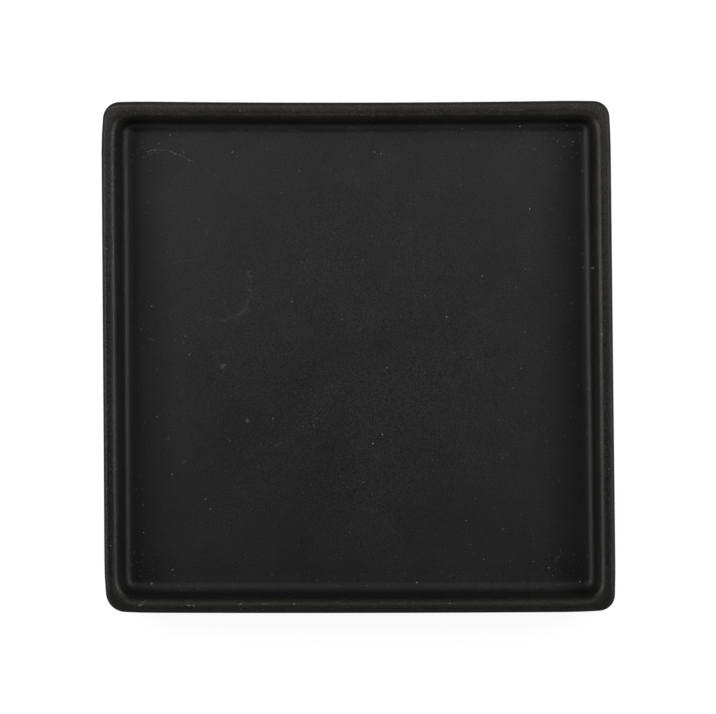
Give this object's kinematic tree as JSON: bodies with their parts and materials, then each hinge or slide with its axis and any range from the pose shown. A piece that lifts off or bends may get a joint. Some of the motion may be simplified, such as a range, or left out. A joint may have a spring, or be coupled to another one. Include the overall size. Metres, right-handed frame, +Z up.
{
  "type": "square dinner plate",
  "caption": "Square stoneware dinner plate in matt black glaze, with a flat well, an upright rim with rounded shoulders and a bare square foot ring.",
  "frame": {"origin": "on the table, under the middle of the plate", "axes": "+Z up out of the well, +X and +Y along the plate's sides; the picture's right is +X and its top is +Y"},
  "size_m": [0.25, 0.25, 0.022],
  "materials": {
    "stoneware": "bare fired dark clay, seen only on the foot ring's land",
    "matt_glaze": "matt black glaze with a fine sandy grain"
  },
  "bodies": {
    "root": {"stoneware_body": "stoneware", "face_glaze": "matt_glaze", "base_glaze": "matt_glaze"}
  },
  "joints": []
}
